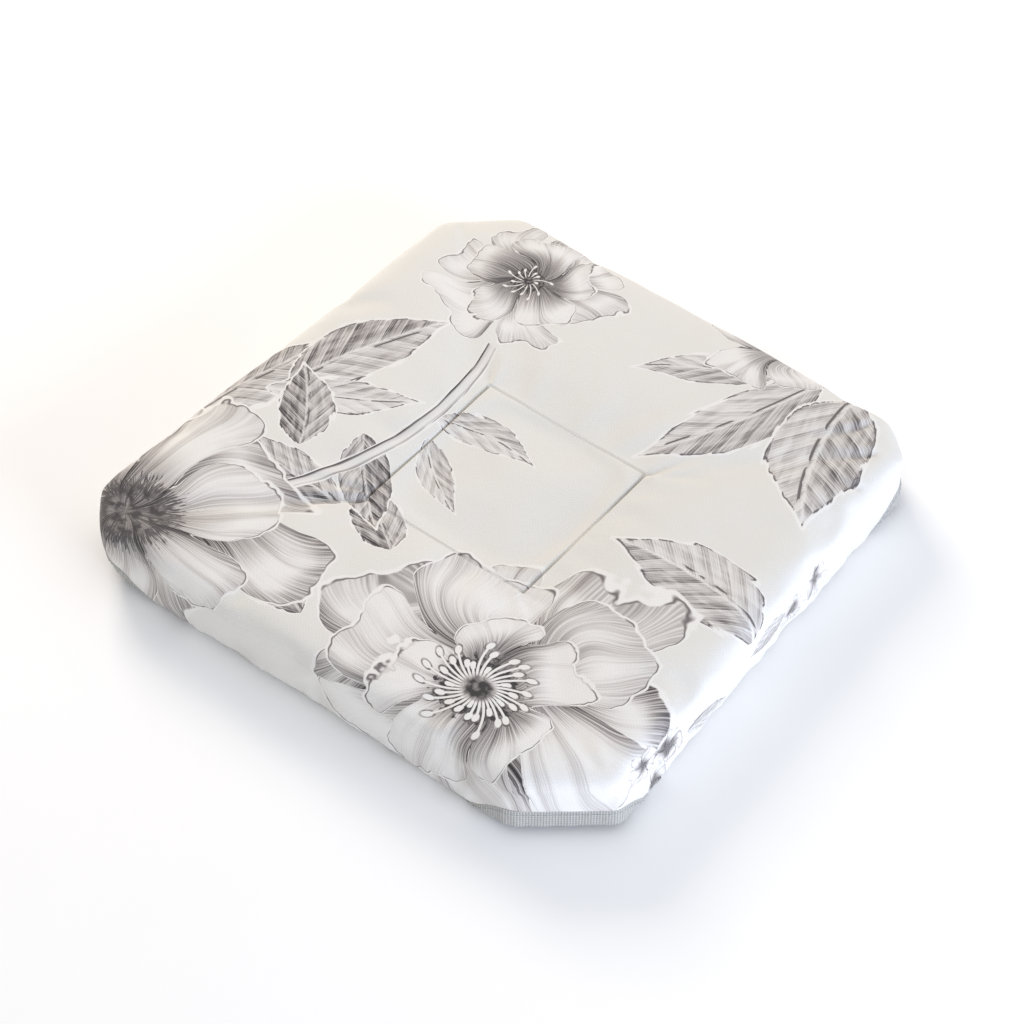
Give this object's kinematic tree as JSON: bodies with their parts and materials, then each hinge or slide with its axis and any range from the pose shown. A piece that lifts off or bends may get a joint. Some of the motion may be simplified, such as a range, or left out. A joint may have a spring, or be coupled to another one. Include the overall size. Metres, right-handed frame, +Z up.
{
  "type": "chair seat pad",
  "caption": "Fitted chair seat pad with cut corners, a sewn square in its middle, turned-down sides and an elastic-bound edge.",
  "frame": {"origin": "centre of the lining's flat underside, the face that rests on the chair's seat", "axes": "+Z up, -Y towards the front of the seat, +X to the sitter's left when seated"},
  "size_m": [0.4001, 0.3854, 0.0488],
  "materials": {
    "printed_canvas": "printed cotton canvas, matt",
    "polyester_wadding": "soft white fibre",
    "polyurethane_foam": "open-cell foam",
    "plain_lining": "plain woven, matt",
    "woven_elastic": "ribbed, matt",
    "cream_thread": "spun polyester",
    "grey_thread": "spun polyester",
    "label_satin": "smooth woven satin"
  },
  "bodies": {
    "root": {"printed_cover": "printed_canvas", "wadding_layer": "polyester_wadding", "foam_core": "polyurethane_foam", "lining": "plain_lining", "elastic_tape": "woven_elastic", "quilting_top_thread": "cream_thread", "quilting_under_thread": "cream_thread", "tape_outer_thread": "grey_thread", "tape_inner_thread": "grey_thread", "tape_join_tacks": "grey_thread", "care_label": "label_satin", "care_label_stitches": "cream_thread"}
  },
  "joints": []
}
